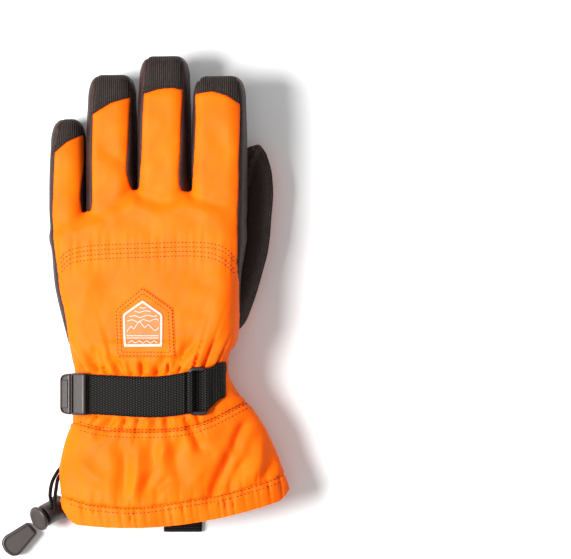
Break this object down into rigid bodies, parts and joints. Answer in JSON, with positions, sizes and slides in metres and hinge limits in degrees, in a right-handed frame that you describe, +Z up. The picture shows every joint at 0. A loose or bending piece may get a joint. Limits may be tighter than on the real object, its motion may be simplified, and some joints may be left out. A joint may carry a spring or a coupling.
{
  "type": "ski glove",
  "caption": "Insulated left-hand ski glove with orange fabric back and gauntlet cuff, dark leather palm, ribbed fingertip caps, buckled wrist strap and cuff drawcord.",
  "frame": {"origin": "middle of the glove's footprint, without the free drawcord strands and their grip, at the height of the surface it lies on", "axes": "+Z up out of the back of the hand as the glove lies palm down, +Y towards the fingertips, +X towards the thumb"},
  "size_m": [0.1839, 0.3195, 0.0555],
  "materials": {
    "shell": "matte woven polyester",
    "leather": "fine-grained, dull",
    "ribbed_leather": "ribbed, dull",
    "webbing": "ribbed woven webbing",
    "plastic": "fine texture",
    "lining": "brushed fleece",
    "elastic": "braided elastic",
    "badge": "woven patch",
    "cord": "braided elastic cord",
    "steel": "bright wire"
  },
  "bodies": {
    "hand": {"hand_back": "shell", "finger_backs": "shell", "palm_leather": "leather", "fourchette_little_ring": "leather", "fourchette_ring_middle": "leather", "fourchette_middle_index": "leather", "little_outer_side": "leather", "index_outer_side": "leather", "hand_liner": "lining", "thumb_gusset": "leather", "badge_backing": "shell", "badge_patch": "badge"},
    "cuff": {"wrist_back": "shell", "wrist_palm": "shell", "wrist_elastic": "elastic", "cuff_back": "shell", "cuff_palm": "shell", "hem_band": "shell", "cuff_liner": "lining", "strap_base": "webbing", "strap_anchor": "webbing", "strap_ring": "plastic", "pull_strap": "webbing", "pull_label": "webbing", "cord_lock_barrel": "plastic", "cord_lock_spring": "steel", "lock_tape": "webbing", "drawcord_outer": "cord", "drawcord_inner": "cord", "cord_grip_bottom": "plastic", "cord_grip_top": "plastic"},
    "thumb": {"thumb_leather": "leather", "thumb_back": "shell", "thumb_liner": "lining"},
    "strap_end": {"strap_tail": "webbing", "clip_body": "plastic", "clip_tab": "plastic"},
    "pull_loop": {"pull_loop": "webbing"},
    "lock_button": {"cord_lock_plunger": "plastic"},
    "little_tip": {"little_back": "shell", "little_front": "leather", "little_gusset": "leather", "little_cap": "ribbed_leather", "little_liner": "lining"},
    "ring_tip": {"ring_back": "shell", "ring_front": "leather", "ring_gusset": "leather", "ring_cap": "ribbed_leather", "ring_liner": "lining"},
    "middle_tip": {"middle_back": "shell", "middle_front": "leather", "middle_gusset": "leather", "middle_cap": "ribbed_leather", "middle_liner": "lining"},
    "index_tip": {"index_back": "shell", "index_front": "leather", "index_gusset": "leather", "index_cap": "ribbed_leather", "index_liner": "lining"}
  },
  "joints": [
    {"name": "little_flex", "type": "hinge", "parent": "hand", "child": "little_tip", "pos_m": [-0.05754, 0.078, 0.01308], "axis": [-0.9744, 0, -0.225], "range_deg": [0, 70]},
    {"name": "ring_flex", "type": "hinge", "parent": "hand", "child": "ring_tip", "pos_m": [-0.02923, 0.092, 0.01962], "axis": [-0.9744, 0, -0.225], "range_deg": [0, 70]},
    {"name": "middle_flex", "type": "hinge", "parent": "hand", "child": "middle_tip", "pos_m": [0.00458, 0.101, 0.02742], "axis": [-0.9744, 0, -0.225], "range_deg": [0, 70]},
    {"name": "index_flex", "type": "hinge", "parent": "hand", "child": "index_tip", "pos_m": [0.03975, 0.106, 0.03554], "axis": [-0.9744, 0, -0.225], "range_deg": [0, 70]},
    {"name": "thumb_swing", "type": "hinge", "parent": "hand", "child": "thumb", "pos_m": [0.03833, -0.006, 0.01305], "axis": [0.225, 0, -0.9744], "range_deg": [-5, 40]},
    {"name": "wrist_bend", "type": "hinge", "parent": "hand", "child": "cuff", "pos_m": [-0.00543, -0.041, 0.02922], "axis": [0.9744, 0, 0.225], "range_deg": [-20, 20]},
    {"name": "strap_peel", "type": "hinge", "parent": "cuff", "child": "strap_end", "pos_m": [0.0171, -0.06134, 0.0486], "axis": [0, 0.9944, 0.1053], "range_deg": [0, 85]},
    {"name": "pull_loop_swing", "type": "hinge", "parent": "cuff", "child": "pull_loop", "pos_m": [0.01478, -0.1345, 0.0015], "axis": [1, 0, 0], "range_deg": [0, 100]},
    {"name": "lock_press", "type": "slide", "parent": "cuff", "child": "lock_button", "axis": [0.7233, 0.3846, -0.5736], "range_m": [0, 0.0025], "stiffness_N_per_m": 400, "springref_m": -0.004, "deforming": ["cord_lock_spring"]}
  ]
}
